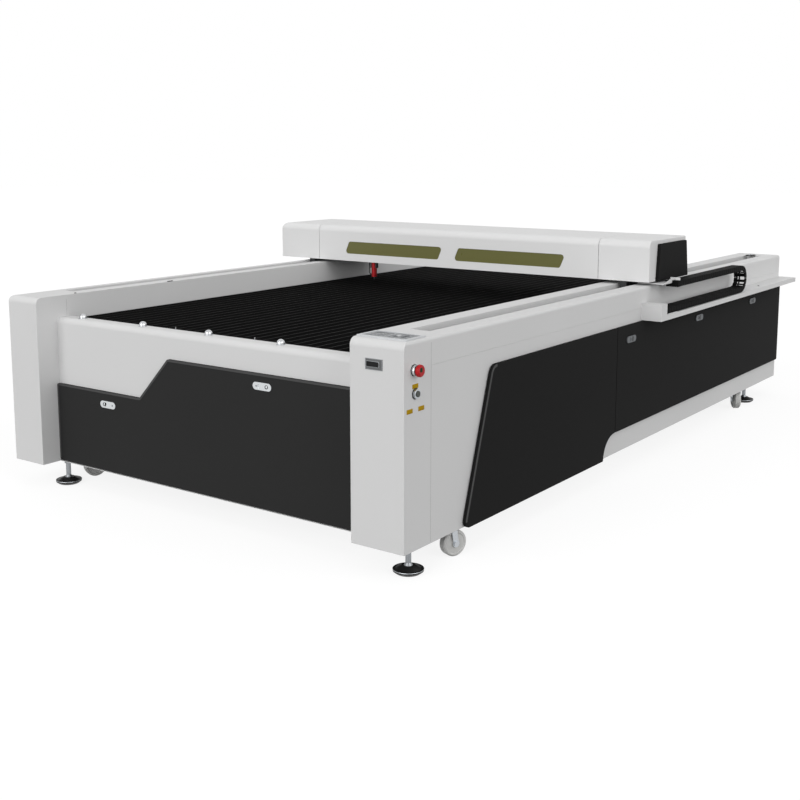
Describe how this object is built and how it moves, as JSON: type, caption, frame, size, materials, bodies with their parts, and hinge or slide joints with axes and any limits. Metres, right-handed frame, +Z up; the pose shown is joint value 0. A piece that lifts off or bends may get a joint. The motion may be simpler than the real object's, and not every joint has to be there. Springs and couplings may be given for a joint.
{
  "type": "laser cutter",
  "caption": "Flat-bed carbon dioxide laser cutter: sheet-metal body on casters and levelling feet, blade bed, travelling gantry with covered beam and laser head",
  "frame": {"origin": "on the floor under the middle of the machine's bounding box", "axes": "+X right with the controls, +Y from the front to the back, +Z up"},
  "size_m": [2.219, 3.693, 0.985],
  "materials": {
    "frame_paint": "dark grey painted steel tube",
    "light_paint": "light grey powder coat, fine texture",
    "dark_paint": "near-black powder coat, fine texture",
    "blade_steel": "black anodised blades",
    "tray_steel": "galvanised sheet",
    "rail_steel": "ground hardened steel",
    "machined_steel": "machined steel",
    "zinc": "bright zinc plate",
    "ball_steel": "polished steel",
    "belt": "black toothed belt",
    "pad_rubber": "black rubber",
    "collar_metal": "turned metal",
    "panel_plastic": "light grey frame with a grey field and keys",
    "lock_zinc": "dark zinc die casting",
    "lever_zinc": "grey zinc die casting",
    "latch_chrome": "satin chrome",
    "stop_red": "red plastic",
    "button_green": "green-grey translucent plastic",
    "nylon": "grey nylon",
    "beam_alu": "natural anodised aluminium",
    "carriage_alu": "machined aluminium",
    "pane": "dark olive tinted acrylic",
    "chain_plastic": "black nylon links",
    "glass_tube": "clear glass",
    "head_alu": "anodised aluminium",
    "tube_red": "red anodised aluminium",
    "nozzle_steel": "polished metal",
    "hose": "black plastic air pipe",
    "bracket_paint": "dark grey painted steel",
    "fork_zinc": "grey painted pressed steel",
    "fittings_grey": "grey anodised mounts, black motor",
    "electric_grey": "dark grey painted boxes and gear motor",
    "support_paint": "dark grey painted steel"
  },
  "bodies": {
    "base": {"frame_lengthwise": "frame_paint", "frame_cross_tubes": "frame_paint", "bed_supports": "support_paint", "columns": "light_paint", "front_apron": "light_paint", "rail_boxes": "light_paint", "side_sheets": "light_paint", "side_panel_right": "dark_paint", "side_panel_left": "dark_paint", "rear_panel": "light_paint", "bed_blades": "blade_steel", "dust_tray": "tray_steel", "chain_tray": "light_paint", "apron_fittings": "ball_steel", "y_guides": "rail_steel", "y_belts": "belt", "electrics": "electric_grey", "foot_pads": "pad_rubber", "foot_stems": "zinc", "caster_plates": "bracket_paint", "button_collars": "collar_metal", "control_panel": "panel_plastic", "latch_plate": "lock_zinc", "chain_lower": "chain_plastic"},
    "front_door": {"front_door": "dark_paint", "front_latches": "latch_chrome"},
    "side_door": {"side_door": "dark_paint", "side_latches": "latch_chrome"},
    "latch_lever": {"latch_lever": "lever_zinc"},
    "stop_head": {"stop_head": "stop_red"},
    "start_button": {"start_button": "button_green"},
    "fork_front_right": {"fork_front_right": "fork_zinc"},
    "fork_front_left": {"fork_front_left": "fork_zinc"},
    "fork_rear_right": {"fork_rear_right": "fork_zinc"},
    "fork_rear_left": {"fork_rear_left": "fork_zinc"},
    "wheel_front_right": {"wheel_front_right": "nylon"},
    "wheel_front_left": {"wheel_front_left": "nylon"},
    "wheel_rear_right": {"wheel_rear_right": "nylon"},
    "wheel_rear_left": {"wheel_rear_left": "nylon"},
    "idler_pulleys": {"idler_pulleys": "machined_steel"},
    "drive_shaft": {"drive_shaft": "machined_steel"},
    "gantry": {"gantry_beam": "beam_alu", "saddles": "carriage_alu", "cover_middle": "light_paint", "cover_ends": "light_paint", "window_panes": "pane", "end_cover": "dark_paint", "chain_bracket": "light_paint", "chain_upper": "chain_plastic", "laser_tube": "glass_tube", "gantry_fittings": "fittings_grey", "x_rail": "rail_steel", "x_belt": "belt"},
    "chain_bend": {"chain_bend": "chain_plastic"},
    "x_drive_pulley": {"x_drive_pulley": "machined_steel"},
    "x_idler_pulley": {"x_idler_pulley": "machined_steel"},
    "head": {"head_plate": "head_alu"},
    "focus": {"focus_tube": "tube_red", "nozzle": "nozzle_steel", "air_pipe": "hose"}
  },
  "joints": [
    {"name": "front_door_hinge", "type": "hinge", "parent": "base", "child": "front_door", "pos_m": [0, -1.7515, 0.109], "axis": [1, 0, 0], "range_deg": [0, 90]},
    {"name": "side_door_hinge", "type": "hinge", "parent": "base", "child": "side_door", "pos_m": [1.0225, 0.7, 0.202], "axis": [0, 1, 0], "range_deg": [0, 90]},
    {"name": "latch_lever_hinge", "type": "hinge", "parent": "base", "child": "latch_lever", "pos_m": [0.912, -1.8405, 0.708], "axis": [0, 0, 1], "range_deg": [0, 90]},
    {"name": "stop_press", "type": "slide", "parent": "base", "child": "stop_head", "axis": [-1, 0, 0], "range_m": [0, 0.004], "stiffness_N_per_m": 1500},
    {"name": "start_press", "type": "slide", "parent": "base", "child": "start_button", "axis": [-1, 0, 0], "range_m": [0, 0.003], "stiffness_N_per_m": 800},
    {"name": "swivel_front_right", "type": "hinge", "parent": "base", "child": "fork_front_right", "pos_m": [0.9865, -1.5275, 0.095], "axis": [0, 0, 1], "continuous": true},
    {"name": "spin_front_right", "type": "hinge", "parent": "fork_front_right", "child": "wheel_front_right", "pos_m": [0.9895, -1.52008, 0.047], "axis": [0.9272, -0.3746, 0], "continuous": true},
    {"name": "swivel_front_left", "type": "hinge", "parent": "base", "child": "fork_front_left", "pos_m": [-0.7905, -1.6035, 0.095], "axis": [0, 0, 1], "continuous": true},
    {"name": "spin_front_left", "type": "hinge", "parent": "fork_front_left", "child": "wheel_front_left", "pos_m": [-0.7875, -1.59608, 0.047], "axis": [0.9272, -0.3746, 0], "continuous": true},
    {"name": "swivel_rear_right", "type": "hinge", "parent": "base", "child": "fork_rear_right", "pos_m": [0.9865, 1.2595, 0.095], "axis": [0, 0, 1], "continuous": true},
    {"name": "spin_rear_right", "type": "hinge", "parent": "fork_rear_right", "child": "wheel_rear_right", "pos_m": [0.9818, 1.26597, 0.047], "axis": [0.809, 0.5878, 0], "continuous": true},
    {"name": "swivel_rear_left", "type": "hinge", "parent": "base", "child": "fork_rear_left", "pos_m": [-0.7905, 1.1835, 0.095], "axis": [0, 0, 1], "continuous": true},
    {"name": "spin_rear_left", "type": "hinge", "parent": "fork_rear_left", "child": "wheel_rear_left", "pos_m": [-0.7952, 1.18997, 0.047], "axis": [0.809, 0.5878, 0], "continuous": true},
    {"name": "gantry_travel", "type": "slide", "parent": "base", "child": "gantry", "axis": [0, 1, 0], "range_m": [-1.58, 1.35], "deforming": ["chain_upper", "chain_lower"]},
    {"name": "chain_roll", "type": "slide", "parent": "base", "child": "chain_bend", "axis": [0, 1, 0], "range_m": [-0.79, 0.675]},
    {"name": "idler_turn", "type": "hinge", "parent": "base", "child": "idler_pulleys", "pos_m": [0.9235, -1.6285, 0.692], "axis": [1, 0, 0], "continuous": true},
    {"name": "shaft_turn", "type": "hinge", "parent": "base", "child": "drive_shaft", "pos_m": [0, 1.7365, 0.692], "axis": [1, 0, 0], "continuous": true},
    {"name": "head_travel", "type": "slide", "parent": "gantry", "child": "head", "axis": [1, 0, 0], "range_m": [-0.245, 1.272]},
    {"name": "cross_drive_turn", "type": "hinge", "parent": "gantry", "child": "x_drive_pulley", "pos_m": [-1.0375, 0.0665, 0.866], "axis": [0, 1, 0], "continuous": true},
    {"name": "cross_idler_turn", "type": "hinge", "parent": "gantry", "child": "x_idler_pulley", "pos_m": [0.9445, 0.0665, 0.866], "axis": [0, 1, 0], "continuous": true},
    {"name": "focus_slide", "type": "slide", "parent": "head", "child": "focus", "axis": [0, 0, 1], "range_m": [-0.01, 0.008]}
  ],
  "couplings": [
    {"joint": "chain_roll", "follows": "gantry_travel", "ratio": 0.5},
    {"joint": "idler_turn", "follows": "gantry_travel", "rad_per_m": -55.556},
    {"joint": "shaft_turn", "follows": "gantry_travel", "rad_per_m": -55.556},
    {"joint": "cross_drive_turn", "follows": "head_travel", "rad_per_m": -83.333},
    {"joint": "cross_idler_turn", "follows": "head_travel", "rad_per_m": -83.333}
  ]
}
